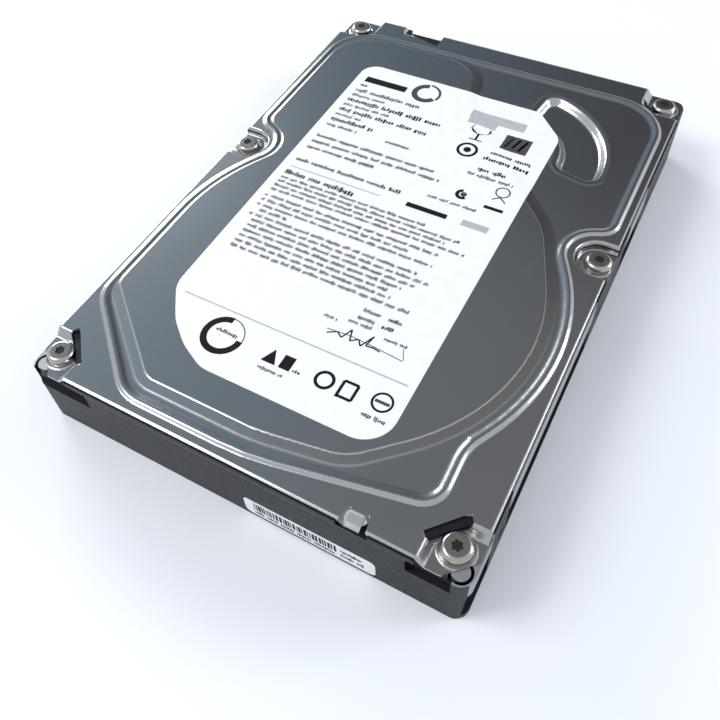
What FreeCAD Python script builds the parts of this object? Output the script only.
"""Slim 3.5-inch hard disk drive: one platter, two heads, a rotary actuator and a motor in the base.

Frame: millimetres, origin at the bottom centre of the bounding box, +X to the right as the label is
read, +Y towards the connector end, +Z up out of the label.
"""
import FreeCAD, Part
import math
import os
import Sketcher
from FreeCAD import Placement, Rotation, Vector

doc = FreeCAD.newDocument("hard_disk_drive")

# ---------------------------------------------------------------- driving dimensions

DIMENSIONS = {
    # whole drive
    "drive_width": 101.6,
    "drive_length": 147.0,
    "drive_height": 19.98,
    # base casting
    "rim_top": 18.5,
    "floor_bottom": 3.8,
    "floor_top": 5.8,
    "bore_radius": 48.4,
    "tab_seat": 16.9,
    "side_recess": 1.0,
    # cover stack
    "gasket_height": 0.4,
    "sheet_thickness": 0.5,
    "emboss": 0.46,
    "label_thickness": 0.12,
    "cover_margin": 0.3,
    "kidney_floor": 17.7,
    # cover screws
    "screw_side": 45.9,
    "screw_front": 67.7,
    "screw_rear": 68.3,
    "screw_mid_side": 47.4,
    "screw_mid": 7.2,
    # industry-standard mounting holes
    "side_hole_height": 6.35,
    "side_hole_rear": 45.0,
    "side_hole_mid": 3.39,
    "side_hole_front": -56.6,
    "bottom_hole_side": 47.625,
    "bottom_hole_rear": 32.22,
    "bottom_hole_front": -12.23,
    "mount_hole_radius": 1.42,
    "mount_hole_depth": 3.8,
    # spindle
    "spindle_y": -22.5,
    "disk_mid": 12.0,
    "disk_radius": 47.5,
    "disk_bore": 12.5,
    "disk_thickness": 1.27,
    "hub_radius": 12.45,
    "shaft_radius": 1.97,
    "sleeve_bore": 2.0,
    "sleeve_radius": 3.9,
    # actuator
    "pivot_x": 14.0,
    "pivot_y": 33.0,
    "post_radius": 2.5,
    "bearing_bore": 2.55,
    "bearing_radius": 6.0,
    "head_reach": 52.0,
    "park_angle": 236.5,
    "arm_thickness": 1.0,
    "arm_gap": 0.95,
    "coil_inner": 13.0,
    "coil_outer": 23.6,
    "coil_height": 2.2,
    "yoke_inner": 11.0,
    "yoke_outer": 25.2,
    "lower_yoke_thickness": 2.2,
    "upper_yoke_bottom": 15.3,
    "upper_yoke_thickness": 1.7,
    # circuit board
    "board_bottom": 0.9,
    "board_thickness": 1.0,
    "board_half_width": 44.0,
    "board_rear": 66.0,
    "contact_pitch": 1.27,
}

sheet = doc.addObject("Spreadsheet::Sheet", "dims")
for row, (alias, value) in enumerate(DIMENSIONS.items(), start=1):
    sheet.set(f"A{row}", alias)
    sheet.set(f"B{row}", str(value))
    sheet.setAlias(f"B{row}", alias)
doc.recompute()


class SheetReader:
    """Reads a driving dimension back from the spreadsheet as a plain number."""

    def __getattr__(self, alias):
        return float(getattr(sheet, alias))


d = SheetReader()
pieces = []

half_width = d.drive_width / 2
half_length = d.drive_length / 2
flange_bottom = d.rim_top + d.gasket_height
pivot = Vector(d.pivot_x, d.pivot_y, 0)
spindle = Vector(0, d.spindle_y, 0)

# expressions used by several pieces
FLANGE_BOTTOM = "dims.rim_top + dims.gasket_height"
FLANGE_TOP = "dims.rim_top + dims.gasket_height + dims.sheet_thickness"
DISK_TOP = "dims.disk_mid + dims.disk_thickness / 2"
DISK_BOTTOM = "dims.disk_mid - dims.disk_thickness / 2"
BOARD_TOP = "dims.board_bottom + dims.board_thickness"
COIL_BOTTOM = "dims.disk_mid - dims.coil_height / 2"
LOWER_YOKE_TOP = "dims.floor_top + dims.lower_yoke_thickness"


# ---------------------------------------------------------------- outline helpers

def polar(radius, degrees, centre=Vector(0, 0, 0)):
    """A point at a radius and an angle about a centre."""
    turn = math.radians(degrees)
    return centre + Vector(radius * math.cos(turn), radius * math.sin(turn), 0)


def arc(centre, radius, start, end):
    """A circular arc from start to end in degrees, counter-clockwise."""
    circle = Part.Circle(centre, Vector(0, 0, 1), radius)
    return Part.ArcOfCircle(circle, math.radians(start), math.radians(end))


def ring(radius, centre=Vector(0, 0, 0)):
    """A full circle as an outline of one edge."""
    return [Part.Circle(centre, Vector(0, 0, 1), radius)]


def grown_corners(corners, grow):
    """Counter-clockwise (x, y, radius) corners moved outward by grow, with their radii adjusted."""
    count = len(corners)
    points = [Vector(x, y, 0) for x, y, _ in corners]
    moved = []
    for i in range(count):
        before = (points[i] - points[i - 1]).normalize()
        after = (points[(i + 1) % count] - points[i]).normalize()
        out_before = Vector(before.y, -before.x, 0)
        out_after = Vector(after.y, -after.x, 0)
        share = grow / (1 + out_before.dot(out_after))
        corner = points[i] + (out_before + out_after) * share
        convex = before.cross(after).z > 0
        radius = corners[i][2]
        if radius > 0:
            radius = max(radius + (grow if convex else -grow), 0.05)
        moved.append((corner.x, corner.y, radius))
    return moved


def rounded(corners, grow=0.0):
    """Edges of a closed counter-clockwise outline whose corners carry their own radii."""
    corners = grown_corners(corners, grow) if grow else corners
    count = len(corners)
    starts, ends, arcs = [], [], []
    for i in range(count):
        here = Vector(corners[i][0], corners[i][1], 0)
        before = (here - Vector(corners[i - 1][0], corners[i - 1][1], 0)).normalize()
        following = corners[(i + 1) % count]
        after = (Vector(following[0], following[1], 0) - here).normalize()
        side = 1 if before.cross(after).z > 0 else -1
        turn = math.acos(max(-1.0, min(1.0, before.dot(after))))
        radius = corners[i][2]
        if radius == 0 or turn < 1e-4:
            starts.append(here)
            ends.append(here)
            arcs.append(None)
            continue
        run = radius * math.tan(turn / 2)
        enter = here - before * run
        leave = here + after * run
        centre = enter + Vector(-before.y, before.x, 0) * (radius * side)
        first, last = (enter, leave) if side > 0 else (leave, enter)
        angle_first = math.degrees(math.atan2(first.y - centre.y, first.x - centre.x))
        angle_last = math.degrees(math.atan2(last.y - centre.y, last.x - centre.x))
        if angle_last < angle_first:
            angle_last += 360
        starts.append(enter)
        ends.append(leave)
        arcs.append(arc(centre, radius, angle_first, angle_last))
    edges = []
    for i in range(count):
        if arcs[i] is not None:
            edges.append(arcs[i])
        following = starts[(i + 1) % count]
        if (following - ends[i]).Length > 1e-4:
            edges.append(Part.LineSegment(ends[i], following))
    return edges


def oblong(x0, y0, x1, y1, radius=0.0):
    """A rectangle with equal corner radii."""
    corners = [(x0, y0), (x1, y0), (x1, y1), (x0, y1)]
    return rounded([(x, y, radius) for x, y in corners])


def sector(inner, outer, start, end, centre=Vector(0, 0, 0)):
    """An annular sector."""
    return [
        arc(centre, outer, start, end),
        Part.LineSegment(polar(outer, end, centre), polar(inner, end, centre)),
        arc(centre, inner, start, end),
        Part.LineSegment(polar(inner, start, centre), polar(outer, start, centre)),
    ]


def rounded_sector(inner, outer, start, end, radius, centre=Vector(0, 0, 0)):
    """An annular sector whose four corners are rounded."""
    lean_out = math.degrees(math.asin(radius / (outer - radius)))
    lean_in = math.degrees(math.asin(radius / (inner + radius)))
    reach_out = math.sqrt((outer - radius) ** 2 - radius ** 2)
    reach_in = math.sqrt((inner + radius) ** 2 - radius ** 2)
    return [
        arc(centre, outer, start + lean_out, end - lean_out),
        arc(polar(outer - radius, end - lean_out, centre), radius, end - lean_out, end + 90),
        Part.LineSegment(polar(reach_out, end, centre), polar(reach_in, end, centre)),
        arc(polar(inner + radius, end - lean_in, centre), radius, end + 90, end - lean_in + 180),
        arc(centre, inner, start + lean_in, end - lean_in),
        arc(polar(inner + radius, start + lean_in, centre), radius, start + lean_in + 180, start + 270),
        Part.LineSegment(polar(reach_in, start, centre), polar(reach_out, start, centre)),
        arc(polar(outer - radius, start + lean_out, centre), radius, start - 90, start + lean_out),
    ]


def mirrored(corners):
    """Corners reflected in the YZ plane, still counter-clockwise."""
    return [(-x, y, r) for x, y, r in reversed(corners)]


# ---------------------------------------------------------------- feature helpers

def new_body(label):
    """An empty PartDesign body that becomes one node."""
    made = doc.addObject("PartDesign::Body", label)
    made.Label = label
    pieces.append(made)
    return made


def new_sketch(body, name, outlines, level, role="XY_Plane"):
    """A sketch on one of the body's own origin planes, lifted to a level given as an expression."""
    made = body.newObject("Sketcher::SketchObject", name)
    plane = next(f for f in body.Origin.OriginFeatures if f.Role == role)
    made.AttachmentSupport = [(plane, "")]
    made.MapMode = "FlatFace"
    made.setExpression("AttachmentOffset.Base.z", level)
    for outline in outlines:
        for edge in outline:
            made.addGeometry(edge, False)
    return made


def extrude(kind, body, name, outlines, level, length, role, reverse):
    """A sketch on one of the origin planes, drawn out into a pad or a pocket."""
    profile = new_sketch(body, name + "_sketch", outlines, level, role)
    made = body.newObject("PartDesign::" + kind, name)
    made.Profile = profile
    made.Reversed = reverse
    made.setExpression("Length", length)
    doc.recompute()
    return made


def pad(body, name, outlines, level, height, role="XY_Plane", reverse=False):
    """Material added from a level, upward when drawn on the ground plane."""
    return extrude("Pad", body, name, outlines, level, height, role, reverse)


def pocket(body, name, outlines, level, depth, role="XY_Plane", reverse=False):
    """Material cut away from a level, downward on the ground plane; the volume has to fall."""
    before = body.Shape.Volume
    made = extrude("Pocket", body, name, outlines, level, depth, role, reverse)
    if not body.Shape.Volume < before - 1e-6:
        raise RuntimeError(f"{name} cuts nothing from {body.Label}")
    return made


def revolve(body, name, outline):
    """A turned solid: the outline is drawn as (radius, height) in the XZ plane and turned about Z."""
    profile = new_sketch(body, name + "_sketch", [outline], "0", "XZ_Plane")
    made = body.newObject("PartDesign::Revolution", name)
    made.Profile = profile
    made.ReferenceAxis = (profile, ["V_Axis"])
    made.Angle = 360.0
    doc.recompute()
    return made


def polyline(points):
    """A closed outline of straight edges."""
    count = len(points)
    corners = [Vector(x, y, 0) for x, y in points]
    return [Part.LineSegment(corners[i], corners[(i + 1) % count]) for i in range(count)]


def bind(item, **expressions):
    """Binds properties to expressions; an underscore in the keyword stands for a dot."""
    for name, expression in expressions.items():
        item.setExpression(name.replace("_", "."), expression)


def block(name, corner, size):
    """A Part box from expressions for its lowest corner and its size."""
    made = doc.addObject("Part::Box", name)
    bind(made, Length=size[0], Width=size[1], Height=size[2])
    bind(made, Placement_Base_x=corner[0], Placement_Base_y=corner[1], Placement_Base_z=corner[2])
    return made


def group(label, shapes):
    """Separate solids, such as identical fasteners, kept together as one node."""
    made = doc.addObject("Part::Compound", label)
    made.Links = shapes
    made.Label = label
    pieces.append(made)
    return made


def keep(item, label):
    """A single primitive that becomes one node."""
    item.Label = label
    pieces.append(item)
    return item


def turned_to(angle):
    """The placement of an actuator piece drawn along local X from the pivot."""
    return Placement(pivot, Rotation(Vector(0, 0, 1), angle))


# ---------------------------------------------------------------- shared outlines

# Lower right half of the embossed bead that runs round the cover, from the front to the waist.
WAIST_RIGHT = [(35.98, 10.79, 7.9), (47.7, 16.26, 4.0)]
WAIST_LEFT = [(-47.9, 16.35, 4.0), (-36.3, 10.8, 7.9)]
BEAD = (
    [(-47.9, -51.2, 8.0), (-26.5, -70.0, 10.0), (3.0, -70.0, 60.0), (39.9, -62.7, 5.0)]
    + [(39.6, -49.2, 12.0), (55.76, -23.5, 47.8)]
    + WAIST_RIGHT
    + [(47.7, 65.1, 13.0), (-47.9, 65.1, 12.0)]
    + WAIST_LEFT
    + [(-47.9, -9.7, 47.8)]
)
PLATEAU = [
    (-46.5, -46.9, 4.0), (-24.5, -64.8, 6.0), (2.0, -64.8, 40.0), (20.6, -61.8, 12.0),
    (50.7, -33.7, 42.8), (32.9, 10.3, 25.0), (-3.0, 46.5, 12.0), (-3.0, 62.6, 11.0),
    (-46.5, 62.6, 12.0), (-46.5, 17.3, 4.0), (-34.9, 11.0, 8.4), (-46.5, -9.6, 44.0),
]
LABEL = [
    (-34.2, -41.5, 5.0), (-17.0, -57.9, 5.0), (25.9, -57.9, 7.0), (25.9, 42.4, 5.0),
    (17.6, 50.8, 4.0), (-34.2, 50.8, 4.5),
]
KIDNEY_CENTRE = Vector(14.0, 34.5, 0)
KIDNEY = rounded_sector(13.7, 25.6, -11.0, 82.5, 3.5, KIDNEY_CENTRE)
KIDNEY_UNDERSIDE = rounded_sector(13.2, 26.1, -12.6, 84.1, 3.5, KIDNEY_CENTRE)

COVER_SCREWS = [
    (side * across, along)
    for across, along in (
        (d.screw_side, -d.screw_front), (d.screw_mid_side, d.screw_mid), (d.screw_side, d.screw_rear)
    )
    for side in (-1, 1)
]
SIDE_HOLES = [d.side_hole_rear, d.side_hole_mid, d.side_hole_front]
BOTTOM_HOLES = [(side * d.bottom_hole_side, along) for side in (-1, 1)
                for along in (d.bottom_hole_rear, d.bottom_hole_front)]

BOARD_RIGHT = [(30.0, -41.0, 4.0), (30.0, 4.0, 3.0), (d.board_half_width, 8.0, 3.0),
               (d.board_half_width, d.board_rear, 2.0)]
BOARD = BOARD_RIGHT + mirrored(BOARD_RIGHT)
FRONT_LABEL = (2.5, 0.6, 30.0, 6.6)
BOARD_SCREWS = [(-26.0, -37.0), (26.0, -37.0), (-40.0, 13.0), (40.0, 13.0), (-40.0, 58.0)]
MOTOR_WINDOW = 18.0

# Base casting: the bay for the actuator behind the platter bore, and the seats under the cover tabs.
BAY_RIGHT = [(36.0, -8.0, 0), (41.9, 2.0, 3.0), (41.9, 12.5, 3.0), (46.2, 17.0, 3.0), (46.2, 64.2, 8.0)]
BAY = BAY_RIGHT + mirrored(BAY_RIGHT)
CORNER_SEAT = [(40.3, -75.0, 0), (52.0, -75.0, 0), (52.0, -63.1, 0), (46.1, -63.1, 0.6), (40.3, -68.9, 0.6)]
REAR_SEAT = [(40.2, 68.4, 0.6), (44.9, 63.0, 0.6), (52.0, 63.0, 0), (52.0, 75.0, 0), (40.2, 75.0, 0)]
FACE_POCKETS = [(-50.0, -35.0), (38.6, 47.4)]
MID_SEAT = [(42.5, 2.3, 4.6), (52.0, 2.3, 0), (52.0, 12.1, 0), (42.5, 12.1, 4.6)]
MID_CUP = [(42.7, 2.5, 4.6), (50.5, 2.5, 0), (50.5, 11.9, 0), (42.7, 11.9, 4.6)]
MID_CUP_INSIDE = [(43.2, 3.0, 4.1), (51.0, 3.0, 0), (51.0, 11.4, 0), (43.2, 11.4, 4.1)]
SIDE_RECESSES = [(-76.0, -62.6), (-53.4, -4.4), (20.8, 35.6), (69.9, 76.0)]


# ---------------------------------------------------------------- chassis: casting and cover

def build_base_casting():
    """The cast aluminium base: walls, platter bore, actuator bay, board recess and mounting holes."""
    base = new_body("base_casting")
    outline = oblong(-half_width, -half_length, half_width, half_length, 3.0)
    pad(base, "casting_block", [outline], "0", "dims.rim_top")
    inside_depth = "dims.rim_top - dims.floor_top"
    pocket(base, "platter_bore", [ring(d.bore_radius, spindle)], "dims.rim_top", inside_depth)
    pocket(base, "actuator_bay", [rounded(BAY)], "dims.rim_top", inside_depth)

    seats = [rounded(corners) for corners in (CORNER_SEAT, REAR_SEAT, MID_SEAT)]
    seats += [rounded(mirrored(corners)) for corners in (CORNER_SEAT, REAR_SEAT, MID_SEAT)]
    pocket(base, "tab_seats", seats, "dims.rim_top", "dims.rim_top - dims.tab_seat")
    pocket(base, "rear_step", [oblong(-31.0, 67.8, -20.6, 75.0)], "dims.rim_top", "1.1")
    pocket(base, "lip_seat", [oblong(24.6, -75.0, 31.2, -69.8)], "dims.rim_top", "1.4")
    front = -half_length + 1.2
    lobes = [Vector(side * 48.05, -70.75, 0) for side in (-1, 1)]
    grooves = [ring(radius, lobe) for lobe in lobes for radius in (1.75, 2.35)]
    pocket(base, "corner_grooves", grooves, "dims.tab_seat", "2.4")
    face_pockets = [oblong(left, -75.0, right, front) for left, right in FACE_POCKETS]
    pocket(base, "face_pockets", face_pockets, "dims.tab_seat + 0.1", "dims.tab_seat + 0.1 - 12.3")

    posts = [ring(2.7, Vector(x, y, 0)) for x, y in BOARD_SCREWS]
    pocket(base, "board_recess", [rounded(BOARD, 0.6)] + posts, "dims.floor_bottom", "dims.floor_bottom")
    post_ends = [ring(3.2, Vector(x, y, 0)) for x, y in BOARD_SCREWS]
    pocket(base, "board_seats", post_ends, BOARD_TOP, BOARD_TOP)
    board_threads = [ring(0.8, Vector(x, y, 0)) for x, y in BOARD_SCREWS]
    pocket(base, "board_threads", board_threads, "dims.floor_top - 0.6", "dims.floor_top")
    pocket(base, "motor_hole", [ring(14.2, spindle)], "dims.floor_top", "dims.floor_top")
    pocket(base, "plug_opening", [oblong(1.0, 65.6, 40.4, 75.0)], "8.6", "8.6")
    pocket(base, "jumper_opening", [oblong(-17.4, 65.6, -6.8, 75.0)], "7.2", "7.2")
    pocket(base, "flex_window", [oblong(-25.2, 43.8, -14.8, 50.2, 1.0)], "dims.floor_top", "dims.floor_top")
    pocket(base, "breather_port", [ring(1.2, Vector(-33.0, 33.0, 0))], "dims.floor_top", "dims.floor_top")

    reliefs = [oblong(-44.4, -68.5, 44.4, -45.0, 4.0)]
    reliefs += [oblong(side * 38.0 - 5.6, -41.0, side * 38.0 + 5.6, 1.5, 3.0) for side in (-1, 1)]
    pocket(base, "underside_relief", reliefs, "dims.floor_bottom", "dims.floor_bottom")

    inner, outer = half_width - d.side_recess, half_width + 1
    recesses = [oblong(inner, low, outer, high) for low, high in SIDE_RECESSES]
    recesses += [oblong(-outer, low, -inner, high) for low, high in SIDE_RECESSES]
    pocket(base, "side_recesses", recesses, "11.0", "9.5")

    holes = [ring(d.mount_hole_radius, Vector(y, d.side_hole_height, 0)) for y in SIDE_HOLES]
    for name, level, reverse in (("right_holes", "dims.drive_width / 2", False),
                                 ("left_holes", "-dims.drive_width / 2", True)):
        pocket(base, name, holes, level, "dims.mount_hole_depth", "YZ_Plane", reverse)
    bottom = [ring(d.mount_hole_radius, Vector(x, y, 0)) for x, y in BOTTOM_HOLES]
    pocket(base, "bottom_holes", bottom, "dims.mount_hole_depth", "dims.mount_hole_depth")

    left, low, width, height = FRONT_LABEL
    label_pad = oblong(left, -half_length - 1, left + width, d.label_thickness - half_length)
    pocket(base, "label_pad", [label_pad], str(low + height), str(height))
    threads = [ring(1.25, Vector(x, y, 0)) for x, y in COVER_SCREWS]
    pocket(base, "cover_threads", threads, "dims.tab_seat", "6.5")
    pad(base, "pivot_boss", [ring(4.6, pivot)], "dims.floor_top - 0.2", "1.4")


def build_top_cover():
    """The stamped steel cover: flat flange, bead, plateau, kidney recess and six screw seats."""
    cover = new_body("top_cover")
    edge_x, edge_y = half_width - d.cover_margin, half_length - d.cover_margin
    flange = oblong(-edge_x, -edge_y, edge_x, edge_y, 2.5)
    pad(cover, "flange", [flange], FLANGE_BOTTOM, "dims.sheet_thickness")
    bead_outside, bead_inside = rounded(BEAD, 1.2), rounded(BEAD, -1.2)
    pad(cover, "bead", [bead_outside, bead_inside], FLANGE_TOP, "dims.emboss * 0.8")
    pad(cover, "plateau", [rounded(PLATEAU)], FLANGE_TOP, "dims.emboss")
    pocket(cover, "plateau_underside", [rounded(PLATEAU, -0.5)],
           FLANGE_BOTTOM + " + dims.emboss", "dims.emboss")
    pocket(cover, "bead_underside", [rounded(BEAD, 0.7), rounded(BEAD, -0.7)],
           FLANGE_BOTTOM + " + dims.emboss * 0.8", "dims.emboss * 0.8")

    pad(cover, "kidney_wall", [KIDNEY_UNDERSIDE], "dims.kidney_floor - dims.sheet_thickness",
        FLANGE_TOP + " - dims.kidney_floor")
    pocket(cover, "kidney_recess", [KIDNEY], FLANGE_TOP, FLANGE_TOP + " - dims.kidney_floor")

    front_cut = [(40.2, -75.0), (52.0, -75.0), (52.0, -63.1), (46.5, -63.1), (46.5, -61.3),
                 (45.8, -61.3), (39.2, -68.0), (39.2, -68.6), (40.2, -68.6)]
    rear_cut = [(40.0, 68.3), (44.6, 62.9), (52.0, 62.9), (52.0, 75.0), (40.0, 75.0)]
    rear_notch = [(-32.6, 70.5), (-29.0, 67.6), (-20.4, 67.6), (-20.4, 75.0), (-32.6, 75.0)]
    edge_notch = [(24.8, -75.0), (31.0, -75.0), (30.0, -70.0), (25.6, -70.0)]
    cuts = [front_cut, rear_cut]
    cuts += [[(-x, y) for x, y in reversed(points)] for points in (front_cut, rear_cut)]
    cuts += [rear_notch, edge_notch]
    pocket(cover, "edge_cuts", [polyline(points) for points in cuts], FLANGE_TOP, "3")

    front_tab = [(42.3, -73.2, 0), (45.2, -73.2, 1.5), (50.5, -68.0, 1.8), (50.5, -64.6, 0),
                 (45.5, -64.6, 1.5), (42.3, -68.3, 1.5)]
    rear_tab = [(42.0, 67.0, 1.5), (44.9, 64.8, 1.5), (50.5, 64.8, 0), (50.5, 73.2, 2.5), (42.0, 73.2, 0)]
    tabs = [rounded(front_tab), rounded(rear_tab), rounded(mirrored(front_tab)), rounded(mirrored(rear_tab))]
    pad(cover, "corner_tabs", tabs, "dims.tab_seat", "dims.sheet_thickness")
    cups = [rounded(MID_CUP), rounded(mirrored(MID_CUP))]
    pad(cover, "mid_cups", cups, "dims.tab_seat", FLANGE_TOP + " - dims.tab_seat")
    insides = [rounded(MID_CUP_INSIDE), rounded(mirrored(MID_CUP_INSIDE))]
    cup_depth = FLANGE_TOP + " - dims.tab_seat - dims.sheet_thickness"
    pocket(cover, "mid_cup_insides", insides, FLANGE_TOP, cup_depth)

    # Sloped webs join each corner tab to the flange on its two straight sides.
    low, high = d.tab_seat, flange_bottom
    sheet_up = d.sheet_thickness
    webs = []
    for side in (-1, 1):
        for flange_end, tab_end, start in ((40.2, 42.3, "68.6"), (40.0, 42.0, "-73.2")):
            slope = [(side * flange_end, high), (side * flange_end, high + sheet_up),
                     (side * tab_end, low + sheet_up), (side * tab_end, low)]
            webs.append((slope, "XZ_Plane", start, "4.6"))
    for start in ("46.5", "-50.5"):
        for flange_end, tab_end in ((-63.1, -64.6), (62.9, 64.8)):
            webs.append(([(flange_end, high), (flange_end, high + sheet_up),
                          (tab_end, low + sheet_up), (tab_end, low)], "YZ_Plane", start, "4.0"))
    lip = [(-70.0, high), (-70.0, high + sheet_up), (-72.0, high - 0.3), (-72.0, high - 0.8)]
    webs.append((lip, "YZ_Plane", "26.2", "3.2"))
    for number, (points, role, start, length) in enumerate(webs):
        pad(cover, f"web_{number}", [polyline(points)], start, length, role)
    holes = [ring(1.5, Vector(x, y, 0)) for x, y in COVER_SCREWS]
    pocket(cover, "screw_holes", holes, "dims.tab_seat + 1", "2")


def build_cover_gasket():
    """The rubber seal that lies on the rim under the bead."""
    gasket = new_body("cover_gasket")
    pad(gasket, "seal_ring", [rounded(BEAD, 1.7), rounded(BEAD, 0.6)], "dims.rim_top", "dims.gasket_height")


def build_cover_screws():
    """Six six-lobe screws with flat, round-edged heads that hold the cover down."""
    radius, height, rim = 3.0, 1.85, 1.0
    corner = Vector(radius - rim, height - rim, 0)
    foot = [(0.0, height), (0.0, -5.8), (0.9, -5.8), (1.24, -5.2), (1.24, 0.0), (radius, 0.0),
            (radius, height - rim)]
    foot = [Vector(x, y, 0) for x, y in foot]
    profile = [arc(corner, rim, 0.0, 90.0), Part.LineSegment(Vector(radius - rim, height, 0), foot[0])]
    profile += [Part.LineSegment(foot[i], foot[i + 1]) for i in range(len(foot) - 1)]
    lobes = []
    for lobe in range(6):
        centre, following = polar(0.75, lobe * 60.0), polar(0.75, lobe * 60.0 + 60.0)
        lobes.append(arc(centre, 0.36, lobe * 60.0 - 90.0, lobe * 60.0 + 90.0))
        lobes.append(Part.LineSegment(polar(0.36, lobe * 60.0 + 90.0, centre),
                                      polar(0.36, lobe * 60.0 - 30.0, following)))
    screws = []
    for number, (x, y) in enumerate(COVER_SCREWS):
        screw = doc.addObject("PartDesign::Body", f"cover_screw_{number}")
        revolve(screw, f"screw_{number}_turned", profile)
        pocket(screw, f"screw_{number}_socket", [lobes], str(height), "1.1")
        screw.Placement.Base = Vector(x, y, d.tab_seat + d.sheet_thickness)
        screws.append(screw)
    group("cover_screws", screws)


def build_product_label():
    """The paper label: it follows the cover's plateau and drops to the lower level beside it."""
    label = new_body("product_label")
    full_height = "dims.emboss + dims.label_thickness"
    pad(label, "paper", [rounded(LABEL)], FLANGE_TOP, full_height)
    pocket(label, "over_plateau", [rounded(PLATEAU)], FLANGE_TOP + " + dims.emboss", "dims.emboss")
    around = oblong(-80.0, -80.0, 80.0, 80.0)
    pocket(label, "low_side", [around, rounded(PLATEAU, d.label_thickness)],
           FLANGE_TOP + " + " + full_height, "dims.emboss")


def build_front_label():
    """The small paper label set into its shallow pad on the front wall."""
    left, bottom, width, height = FRONT_LABEL
    corner = (str(left), "-dims.drive_length / 2", str(bottom))
    size = (str(width), "dims.label_thickness", str(height))
    keep(block("front_label_sheet", corner, size), "front_label")


# ---------------------------------------------------------------- small fasteners

def small_screw(name, centre, seat, head, shank, upward=False):
    """A screw body: head (radius, height) on its seat and shank (radius, length) beyond it."""
    screw = doc.addObject("PartDesign::Body", name)
    where = Vector(centre[0], centre[1], 0)
    head_base = f"{seat} - {head[1]}" if upward else seat
    shank_base = f"{seat} - 0.1" if upward else f"{seat} - {shank[1]}"
    pad(screw, name + "_head", [ring(head[0], where)], head_base, str(head[1]))
    pad(screw, name + "_shank", [ring(shank[0], where)], shank_base, f"{shank[1]} + 0.1")
    star = [polar(head[0] * (0.5 if i % 2 else 0.36), i * 30.0, where) for i in range(12)]
    socket = [Part.LineSegment(star[i], star[(i + 1) % 12]) for i in range(12)]
    top = f"{head_base} + {head[1] / 2}" if upward else f"{seat} + {head[1]}"
    pocket(screw, name + "_socket", [socket], top, str(head[1] / 2))
    return screw


# ---------------------------------------------------------------- chassis: motor stator

def build_motor_bracket():
    """The steel bracket that closes the motor hole and carries the bearing sleeve and the stator."""
    bracket = new_body("motor_bracket")
    pad(bracket, "bracket_flange", [ring(17.0, spindle)], "2.2", "dims.floor_bottom - 2.2")
    pad(bracket, "bracket_plug", [ring(14.15, spindle)], "dims.floor_bottom - 0.2", "2.0")
    pad(bracket, "sleeve_seat", [ring(4.6, spindle)], "dims.floor_top - 0.5", "2.3")
    pocket(bracket, "sleeve_hole", [ring(d.sleeve_radius, spindle)], "10", "6.4")


def build_bearing_sleeve():
    """The fluid-bearing sleeve that the shaft turns in, closed at the bottom."""
    sleeve = new_body("bearing_sleeve")
    pad(sleeve, "sleeve_outside", [ring(d.sleeve_radius, spindle)], "3.6", "7.5")
    pocket(sleeve, "sleeve_bore", [ring(d.sleeve_bore, spindle)], "12", "7.4")


def build_stator():
    """A nine-tooth laminated stator on the bracket's seat, and one winding on each tooth."""
    core = new_body("stator_core")
    teeth = 9
    core_level, core_height = "7.0", "2.0"
    ring_inside, ring_outside, tooth_end, shoe_end = 4.6, 5.8, 9.0, 9.8
    yoke_ring = [ring(ring_outside, spindle), ring(ring_inside, spindle)]
    pad(core, "yoke_ring", yoke_ring, core_level, core_height)
    windings = []
    for tooth in range(teeth):
        angle = tooth * 360.0 / teeth
        shank = sector(ring_outside - 0.3, tooth_end, angle - 8.0, angle + 8.0, spindle)
        shoe = sector(tooth_end - 0.2, shoe_end, angle - 15.0, angle + 15.0, spindle)
        pad(core, f"tooth_{tooth}", [shank], core_level, core_height)
        pad(core, f"shoe_{tooth}", [shoe], core_level, core_height)
        coil = doc.addObject("PartDesign::Body", f"winding_{tooth}")
        wound = sector(6.1, 8.7, angle - 15.0, angle + 15.0, spindle)
        slot = sector(5.5, 9.5, angle - 8.6, angle + 8.6, spindle)
        pad(coil, f"winding_{tooth}_block", [wound], "6.4", "3.2")
        pocket(coil, f"winding_{tooth}_slot", [slot], "9.05", "2.1")
        windings.append(coil)
    group("stator_coils", windings)


def build_motor_contact_strip():
    """The thin flexible strip that brings the motor's phases out under the bracket."""
    strip = new_body("motor_contact_strip")
    pad(strip, "strip", [oblong(-3.0, d.spindle_y + 6.0, 3.0, d.spindle_y + 16.5, 1.0)], "2.05", "0.15")


# ---------------------------------------------------------------- chassis: voice-coil motor

YOKE_ENDS = (-24.0, 95.0)
MAGNET_ENDS = (9.5, 73.0)
YOKE_POSTS = [polar(22.0, angle, pivot) for angle in (-19.0, 89.5)]
CRASH_STOPS = {"inner_crash_stop": 82.7, "outer_crash_stop": 0.3}
UPPER_YOKE_TOP = "dims.upper_yoke_bottom + dims.upper_yoke_thickness"
YOKE_GAP = "dims.upper_yoke_bottom - dims.floor_top - dims.lower_yoke_thickness"


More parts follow.
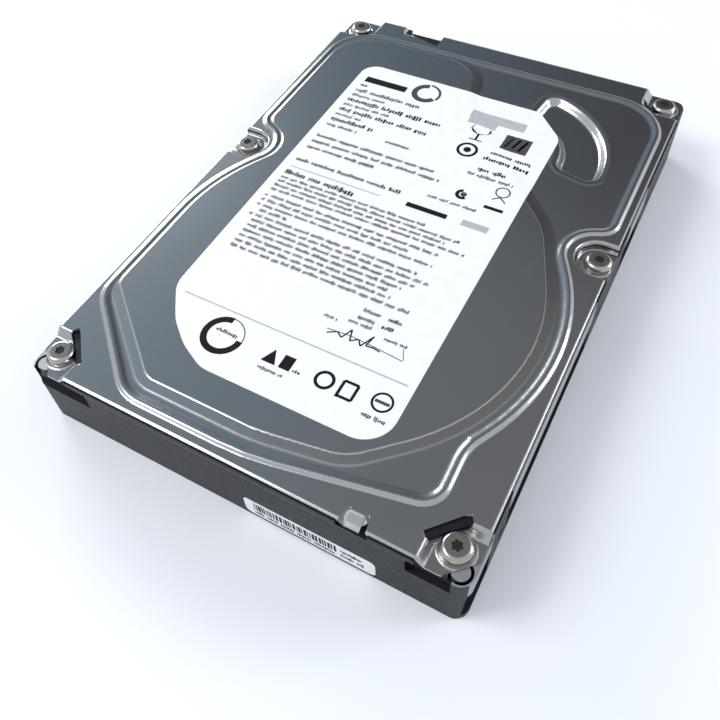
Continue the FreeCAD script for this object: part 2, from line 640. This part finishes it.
def build_voice_coil_motor():
    """Two steel yokes, a magnet on the inner face of each, and the posts and screws that join them."""
    plate = rounded_sector(d.yoke_inner, d.yoke_outer, *YOKE_ENDS, 3.0, pivot)
    magnet = rounded_sector(12.2, 24.2, *MAGNET_ENDS, 1.5, pivot)
    pad(new_body("lower_yoke"), "lower_plate", [plate], "dims.floor_top", "dims.lower_yoke_thickness")
    upper = new_body("upper_yoke")
    pad(upper, "upper_plate", [plate], "dims.upper_yoke_bottom", "dims.upper_yoke_thickness")
    pocket(upper, "upper_plate_holes", [ring(0.95, post) for post in YOKE_POSTS], "18", "5")
    pad(new_body("lower_magnet"), "lower_magnet_block", [magnet], LOWER_YOKE_TOP, "2.0")
    pad(new_body("upper_magnet"), "upper_magnet_block", [magnet], "dims.upper_yoke_bottom - 1.5", "1.5")
    columns, screws = [], []
    for number, post in enumerate(YOKE_POSTS):
        column = doc.addObject("PartDesign::Body", f"yoke_post_{number}")
        pad(column, f"yoke_column_{number}", [ring(1.7, post)], LOWER_YOKE_TOP, YOKE_GAP)
        pocket(column, f"yoke_thread_{number}", [ring(0.9, post)], "dims.upper_yoke_bottom", "4")
        columns.append(column)
        screws.append(small_screw(f"yoke_screw_{number}", (post.x, post.y), UPPER_YOKE_TOP,
                                  (1.7, 1.0), (0.85, 5.0)))
    group("yoke_posts", columns)
    group("yoke_screws", screws)
    for label, angle in CRASH_STOPS.items():
        stop = new_body(label)
        centre = polar(16.5, angle, pivot)
        pad(stop, label + "_sleeve", [ring(2.1, centre)], LOWER_YOKE_TOP + " + 0.2", YOKE_GAP + " - 0.4")
        pad(stop, label + "_pin", [ring(1.2, centre)], LOWER_YOKE_TOP, YOKE_GAP)


def build_pivot_post():
    """The steel post that the actuator swings on, and the screw that holds its top."""
    post = new_body("pivot_post")
    pad(post, "post_flange", [ring(4.4, pivot)], "dims.floor_top + 1.2", "1.0")
    pad(post, "post_shaft", [ring(d.post_radius, pivot)], "dims.floor_top + 1.2", "9.8")
    pocket(post, "post_thread", [ring(1.1, pivot)], "17", "4")
    centre = (d.pivot_x, d.pivot_y)
    screw = small_screw("pivot_screw_body", centre, "dims.floor_top + 11.0", (3.4, 1.1), (1.05, 3.0))
    group("pivot_screw", [screw])


# ---------------------------------------------------------------- chassis: inside the bay

FLEX_CENTRE = Vector(1.0, 46.07, 0)
FLEX_RADIUS = 13.0
FLEX_ENDS = (180.3, 278.0)


def build_flex_parts():
    """The bracket on the floor, its screws, the connector under it and the flexible cable's loop."""
    bracket = new_body("flex_bracket")
    pad(bracket, "bracket_foot", [oblong(-30.0, 40.5, -12.1, 53.5, 1.5)], "dims.floor_top", "1.2")
    pad(bracket, "bracket_wall", [oblong(-13.9, 41.5, -12.12, 52.5, 0.4)], "dims.floor_top", "9.0")
    pocket(bracket, "bracket_hole", [ring(1.0, Vector(-27.6, 47.0, 0))], "8", "4")
    screw = small_screw("bracket_screw", (-27.6, 47.0), "dims.floor_top + 1.2", (1.8, 1.0), (0.95, 1.2))
    group("flex_bracket_screw", [screw])
    connector = new_body("head_connector")
    pad(connector, "connector_block", [oblong(-25.0, 44.0, -15.0, 50.0, 0.8)], BOARD_TOP,
        "dims.floor_top - (" + BOARD_TOP + ")")
    cable = new_body("flex_cable")
    loop = sector(FLEX_RADIUS - 0.1, FLEX_RADIUS + 0.1, *FLEX_ENDS, FLEX_CENTRE)
    pad(cable, "cable_loop", [loop], "dims.disk_mid - 2.2", "4.4")


def build_filters():
    """The recirculation filter, the breather filter over its port and the desiccant pack."""
    keep(block("recirculation_pad", ("-44.6", "19.6", "dims.floor_top"), ("2.4", "11.0", "10.0")),
         "recirculation_filter")
    breather = new_body("breather_filter")
    pad(breather, "breather_disc", [ring(5.0, Vector(-33.0, 33.0, 0))], "dims.floor_top", "1.6")
    desiccant = new_body("desiccant_pack")
    pad(desiccant, "desiccant_block", [oblong(-43.6, 44.5, -33.0, 59.5, 2.0)], "dims.floor_top", "4.5")


def build_foil_seal():
    """The round foil sticker that closes the service port in the front underside."""
    seal = new_body("foil_seal")
    pad(seal, "foil", [ring(6.0, Vector(0.0, -58.0, 0))], "dims.floor_bottom - 0.1", "0.1")


# ---------------------------------------------------------------- chassis: circuit board

def build_circuit_board():
    """The board under the base, bare side down, with its window for the motor bracket."""
    board = new_body("circuit_board")
    pad(board, "board_plate", [rounded(BOARD)], "dims.board_bottom", "dims.board_thickness")
    pocket(board, "motor_window", [ring(MOTOR_WINDOW, spindle)], BOARD_TOP, "dims.board_thickness")
    holes = [ring(1.1, Vector(x, y, 0)) for x, y in BOARD_SCREWS]
    pocket(board, "screw_holes", holes, BOARD_TOP, "dims.board_thickness")
    slots = [oblong(1.6, 64.0, 39.8, 67.0), oblong(-16.8, 64.0, -7.4, 67.0)]
    pocket(board, "plug_slots", slots, BOARD_TOP, "dims.board_thickness")
    screws = [small_screw(f"board_screw_{i}", at, "dims.board_bottom", (2.0, 0.6), (0.78, 3.6), upward=True)
              for i, at in enumerate(BOARD_SCREWS)]
    group("board_screws", screws)
    pad_outline = [(-29.0, -40.0, 3.0), (29.0, -40.0, 3.0), (29.0, 5.0, 3.0), (43.0, 9.0, 3.0),
                   (43.0, 61.0, 2.0), (-43.0, 61.0, 2.0), (-43.0, 9.0, 3.0), (-29.0, 5.0, 3.0)]
    insulator = new_body("board_insulator")
    pad(insulator, "foam", [rounded(pad_outline)], "dims.floor_bottom - 0.3", "0.3")
    windows = [ring(MOTOR_WINDOW + 1.0, spindle), oblong(-26.5, 42.5, -13.5, 51.5, 1.0)]
    windows += [ring(3.6, Vector(x, y, 0)) for x, y in BOARD_SCREWS]
    pocket(insulator, "foam_windows", windows, "dims.floor_bottom", "1")


def build_chips():
    """The packages and small parts on the board's inner side."""
    for label, (x, y, width, length, height) in {
        "controller_chip": (-8.0, 18.0, 14.0, 14.0, 1.3),
        "motor_driver_chip": (12.0, 8.0, 9.0, 9.0, 1.0),
        "cache_memory_chip": (14.0, 30.0, 12.0, 18.0, 1.2),
        "flash_memory_chip": (-30.0, 20.0, 5.0, 6.0, 1.2),
        "clock_crystal": (-18.0, 8.0, 5.0, 3.2, 1.0),
    }.items():
        corner = (str(x), str(y), BOARD_TOP)
        keep(block(label + "_package", corner, (str(width), str(length), str(height))), label)
    parts = []
    rows = [(-38.0, 30.0, 5, 0.0, 4.0), (30.0, 14.0, 6, 0.0, 5.0), (-22.0, -2.0, 4, 4.0, 0.0),
            (4.0, 2.0, 5, 4.0, 0.0), (32.0, 48.0, 3, 0.0, 4.0), (-12.0, 40.0, 5, 4.5, 0.0)]
    for row, (x, y, count, step_x, step_y) in enumerate(rows):
        for i in range(count):
            corner = (str(x + i * step_x), str(y + i * step_y), BOARD_TOP)
            parts.append(block(f"small_part_{row}_{i}", corner, ("2.0", "1.25", "0.9")))
    group("board_components", parts)
    pads = []
    for i in range(4):
        corner = (str(-4.5 + 2.4 * i), "-3.6", BOARD_TOP)
        pads.append(block(f"motor_pad_{i}", corner, ("1.6", "3.0", "0.25")))
    group("motor_contact_pads", pads)


# ---------------------------------------------------------------- chassis: connectors

PLUG_LEFT, PLUG_RIGHT = 1.8, 39.6
PLUG_FRONT, PLUG_REAR = 66.0, 73.4
PLUG_BOTTOM, PLUG_TOP = 0.7, 8.2
CAVITY_START = 68.4
TONGUE_BOTTOM, TONGUE_TOP = 3.4, 4.6
SIGNAL_SPAN, POWER_SPAN = (4.0, 14.4), (16.8, 37.4)


def build_data_power_plug():
    """The rear plug: a housing with two L-shaped tongues, and its 7 + 15 contacts."""
    plug = new_body("data_power_plug")
    housing = oblong(PLUG_LEFT, PLUG_BOTTOM, PLUG_RIGHT, PLUG_TOP, 0.6)
    pad(plug, "housing", [housing], str(-PLUG_FRONT), str(PLUG_REAR - PLUG_FRONT), "XZ_Plane", True)
    middle = (SIGNAL_SPAN[1] + POWER_SPAN[0]) / 2
    cavities = [oblong(SIGNAL_SPAN[0] - 1.2, PLUG_BOTTOM + 1.0, middle - 0.45, PLUG_TOP - 1.0, 0.5),
                oblong(middle + 0.45, PLUG_BOTTOM + 1.0, POWER_SPAN[1] + 1.2, PLUG_TOP - 1.0, 0.5)]
    pocket(plug, "cavities", cavities, str(-CAVITY_START), "9", "XZ_Plane")
    tongue_length = str(PLUG_REAR - 0.8 - CAVITY_START + 0.2)
    for number, (left, right) in enumerate((SIGNAL_SPAN, POWER_SPAN)):
        key_bottom = TONGUE_BOTTOM - 1.0
        key = [(left, TONGUE_BOTTOM, 0), (right - 1.2, TONGUE_BOTTOM, 0), (right - 1.2, key_bottom, 0),
               (right, key_bottom, 0), (right, TONGUE_TOP, 0), (left, TONGUE_TOP, 0)]
        start = f"0.2 - {CAVITY_START}"
        pad(plug, f"tongue_{number}", [rounded(key)], start, tongue_length, "XZ_Plane", True)
    strips = []
    for name, (left, right), count in (("signal", SIGNAL_SPAN, 7), ("power", POWER_SPAN, 15)):
        first = (left + right - 1.2) / 2 - (count - 1) / 2 * d.contact_pitch - 0.3
        for i in range(count):
            x = f"{first} + {i} * dims.contact_pitch"
            corner = (x, str(CAVITY_START), str(TONGUE_TOP))
            strips.append(block(f"{name}_contact_{i}", corner, ("0.6", "4.0", "0.12")))
    group("plug_contacts", strips)


def build_jumper_block():
    """The small four-pin header beside the plug."""
    header = new_body("jumper_block")
    pad(header, "header_housing", [oblong(-16.6, 1.0, -7.6, 6.6, 0.5)], "-66.0", "7.2", "XZ_Plane", True)
    pocket(header, "header_cavity", [oblong(-15.6, 1.9, -8.6, 5.7, 0.3)], "-67.6", "8", "XZ_Plane")
    pins = []
    for column in range(4):
        for row in range(2):
            centre_x, centre_z = -15.1 + 2.0 * column, 2.8 + 2.0 * row
            corner = (str(centre_x - 0.25), "67.6", str(centre_z - 0.25))
            pins.append(block(f"jumper_pin_{column}_{row}", corner, ("0.5", "4.8", "0.5")))
    group("jumper_pins", pins)


# ---------------------------------------------------------------- spindle

def build_spindle():
    """Hub, shaft, rotor magnet, platter, clamp and clamp screws: everything that the motor turns."""
    hub = new_body("spindle_hub")
    pad(hub, "hub_cup", [ring(d.hub_radius, spindle)], "6.3", DISK_TOP + " - 6.3")
    pad(hub, "hub_flange", [ring(16.0, spindle)], DISK_BOTTOM + " - 1.8", "1.8")
    pocket(hub, "hub_hollow", [ring(11.2, spindle)], DISK_TOP + " - 1.2", DISK_TOP + " - 7.4 + 2")
    pocket(hub, "shaft_hole", [ring(d.shaft_radius, spindle)], "20", "12")
    shaft = new_body("spindle_shaft")
    pad(shaft, "shaft", [ring(d.shaft_radius, spindle)], "4.8", DISK_TOP + " - 4.8")
    rotor = new_body("rotor_magnet")
    pad(rotor, "rotor_ring", [ring(11.2, spindle), ring(10.2, spindle)], "6.5", "4.4")
    platter = new_body("platter")
    pad(platter, "disk", [ring(d.disk_radius, spindle), ring(d.disk_bore, spindle)], DISK_BOTTOM,
        "dims.disk_thickness")
    clamp = new_body("platter_clamp")
    pad(clamp, "clamp_disc", [ring(15.6, spindle)], DISK_TOP, "1.0")
    pocket(clamp, "clamp_centre", [ring(3.2, spindle)], "20", "8")
    holes = [polar(8.5, 60.0 * i + 30.0, spindle) for i in range(6)]
    pocket(clamp, "clamp_holes", [ring(0.95, at) for at in holes], "20", "8")
    screws = [small_screw(f"clamp_screw_{i}", (at.x, at.y), DISK_TOP + " + 1.0", (1.7, 0.8), (0.9, 1.0))
              for i, at in enumerate(holes)]
    group("clamp_screws", screws)


# ---------------------------------------------------------------- actuator

ARM_END = 34.0
HUB_OUTSIDE = 9.0
TAIL_HALF = 17.5
UPPER_ARM_BOTTOM = DISK_TOP + " + dims.arm_gap"
LOWER_ARM_TOP = DISK_BOTTOM + " - dims.arm_gap"


def build_arm_block():
    """The aluminium block on the bearing, with one arm above the platter and one below it."""
    arm = new_body("actuator_arm_block")
    pad(arm, "block_hub", [ring(HUB_OUTSIDE)], "8.6", "6.8")
    shape = [(0.0, -7.6, 0), (ARM_END, -3.2, 2.0), (ARM_END, 3.2, 2.0), (0.0, 7.6, 0)]
    pad(arm, "upper_arm", [rounded(shape)], UPPER_ARM_BOTTOM, "dims.arm_thickness")
    pad(arm, "lower_arm", [rounded(shape)], LOWER_ARM_TOP + " - dims.arm_thickness", "dims.arm_thickness")
    pad(arm, "flex_shelf", [oblong(1.0, -8.6, 12.0, -4.6, 0.5)], "dims.disk_mid - 2.4", "4.8")
    window = [(13.5, -2.6, 1.2), (28.5, -1.3, 0.9), (28.5, 1.3, 0.9), (13.5, 2.6, 1.2)]
    pocket(arm, "arm_windows", [rounded(window)], "20", "18")
    pocket(arm, "bearing_bore", [ring(d.bearing_radius)], "20", "18")
    arm.Placement = turned_to(d.park_angle)


def build_pivot_bearing():
    """The bearing cartridge pressed into the block and running on the post."""
    bearing = new_body("pivot_bearing")
    pad(bearing, "cartridge", [ring(d.bearing_radius), ring(d.bearing_bore)], "8.2", "7.8")
    bearing.Placement = turned_to(d.park_angle)


def build_voice_coil():
    """The flat winding and the moulded frame that holds it behind the pivot."""
    coil = new_body("voice_coil")
    outside = rounded_sector(d.coil_inner, d.coil_outer, 164.0, 196.0, 1.5)
    inside = rounded_sector(16.2, 20.4, 172.0, 188.0, 0.6)
    pad(coil, "winding", [outside, inside], COIL_BOTTOM, "dims.coil_height")
    coil.Placement = turned_to(d.park_angle)
    frame = new_body("coil_frame")
    rim = rounded_sector(HUB_OUTSIDE + 0.02, d.coil_outer + 1.0, 180.0 - TAIL_HALF, 180.0 + TAIL_HALF, 0.6)
    pad(frame, "frame_plate", [rim], COIL_BOTTOM + " - 0.1", "dims.coil_height + 0.2")
    pad(frame, "latch_nib", [sector(d.coil_outer, d.coil_outer + 2.0, 194.5, 197.0)], COIL_BOTTOM + " - 0.1",
        "dims.coil_height + 0.2")
    pocket(frame, "coil_window", [outside], "20", "18")
    pad(frame, "coil_bobbin", [inside], COIL_BOTTOM + " - 0.1", "dims.coil_height + 0.2")
    frame.Placement = turned_to(d.park_angle)


def build_head(which, side):
    """One suspension and its slider; side is +1 above the platter and -1 below it."""
    face = d.disk_mid + side * (d.disk_thickness / 2)
    seat = face + side * d.arm_gap
    flying = face + side * 0.05
    slider_top = flying + side * 0.30
    suspension = new_body(f"{which}_suspension")
    beam = [(27.0, seat), (27.0, seat - side * 0.25), (35.5, seat - side * 0.25),
            (50.4, slider_top), (53.6, slider_top), (53.6, slider_top + side * 0.12),
            (50.6, slider_top + side * 0.12), (35.7, seat - side * 0.08), (35.7, seat)]
    pad(suspension, f"{which}_beam", [polyline(beam)], "-3.1", "6.2", "XZ_Plane")
    taper = [(36.0, 3.6), (36.0, 3.1), (51.5, 1.1), (54.5, 1.1), (54.5, 3.6)]
    tapers = [polyline(taper), polyline([(x, -y) for x, y in taper])]
    pocket(suspension, f"{which}_taper", tapers, "20", "18")
    suspension.Placement = turned_to(d.park_angle)
    slider = new_body(f"{which}_slider")
    low = min(flying, slider_top)
    pad(slider, f"{which}_slider_block", [oblong(d.head_reach - 0.6, -0.5, d.head_reach + 0.65, 0.5)],
        str(low), "0.3")
    slider.Placement = turned_to(d.park_angle)


def build_preamp():
    """The preamplifier chip on the side of the arm block."""
    chip = new_body("preamp_chip")
    pad(chip, "preamp_package", [oblong(7.6, -9.4, 11.6, -8.6)], "dims.disk_mid - 1.6", "3.2")
    chip.Placement = turned_to(d.park_angle)


# ---------------------------------------------------------------- latch

LATCH_PIVOT = polar(28.7, 97.0, pivot)
LATCH_TIP = polar(27.8, 68.0, pivot)


def build_latch():
    """The inertial latch that catches the coil frame's nib, and the pin that it turns on."""
    lever = new_body("latch_lever")
    along = (LATCH_TIP - LATCH_PIVOT).normalize()
    across = Vector(-along.y, along.x, 0)
    tail = LATCH_PIVOT - along * 4.0
    level, height = COIL_BOTTOM + " + 0.1", "dims.coil_height - 0.2"
    bar = [tail + across * -0.7, LATCH_TIP + across * -0.6, LATCH_TIP + across * 0.6, tail + across * 0.7]
    pad(lever, "lever_bar", [polyline([(p.x, p.y) for p in bar])], level, height)
    pad(lever, "lever_boss", [ring(1.7, LATCH_PIVOT)], level, height)
    pad(lever, "lever_hook", [ring(1.2, LATCH_TIP)], level, height)
    pad(lever, "lever_weight", [ring(1.0, tail)], level, height)
    pocket(lever, "lever_bore", [ring(0.85, LATCH_PIVOT)], "20", "18")
    pin = new_body("latch_pin")
    pad(pin, "pin_shaft", [ring(0.8, LATCH_PIVOT)], "dims.floor_top", "dims.disk_mid + 1.8 - dims.floor_top")
    pad(pin, "pin_foot", [ring(1.7, LATCH_PIVOT)], "dims.floor_top", COIL_BOTTOM + " - 0.2 - dims.floor_top")


# ---------------------------------------------------------------- build, check and write

def find_faults():
    """Objects that failed to recompute, pieces with a bad shape, and a wrong overall height."""
    faults = [item.Label for item in doc.Objects if {"Invalid", "Error"} & set(item.State)]
    for piece in pieces:
        if piece.Shape.isNull() or not piece.Shape.isValid() or piece.Shape.Volume <= 0:
            faults.append(piece.Label)
    top = max(piece.Shape.BoundBox.ZMax for piece in pieces)
    if abs(top - d.drive_height) > 0.01:
        faults.append(f"drive height {top:.3f}")
    return faults


def main():
    """Builds every piece, checks it and writes one STEP file a piece."""
    build_base_casting()
    build_top_cover()
    build_cover_gasket()
    build_cover_screws()
    build_product_label()
    build_front_label()
    build_motor_bracket()
    build_bearing_sleeve()
    build_stator()
    build_motor_contact_strip()
    build_voice_coil_motor()
    build_pivot_post()
    build_flex_parts()
    build_filters()
    build_foil_seal()
    build_circuit_board()
    build_chips()
    build_data_power_plug()
    build_jumper_block()
    build_spindle()
    build_arm_block()
    build_pivot_bearing()
    build_voice_coil()
    build_head("upper", 1)
    build_head("lower", -1)
    build_preamp()
    build_latch()
    doc.recompute()
    faults = find_faults()
    if faults:
        raise RuntimeError("failed pieces: " + ", ".join(faults))
    os.makedirs("parts", exist_ok=True)
    for piece in pieces:
        piece.Shape.exportStep(f"parts/{piece.Label}.step")
        print(f"{piece.Label}: {len(piece.Shape.Solids)} solids, {piece.Shape.Volume:.1f} mm3")


main()
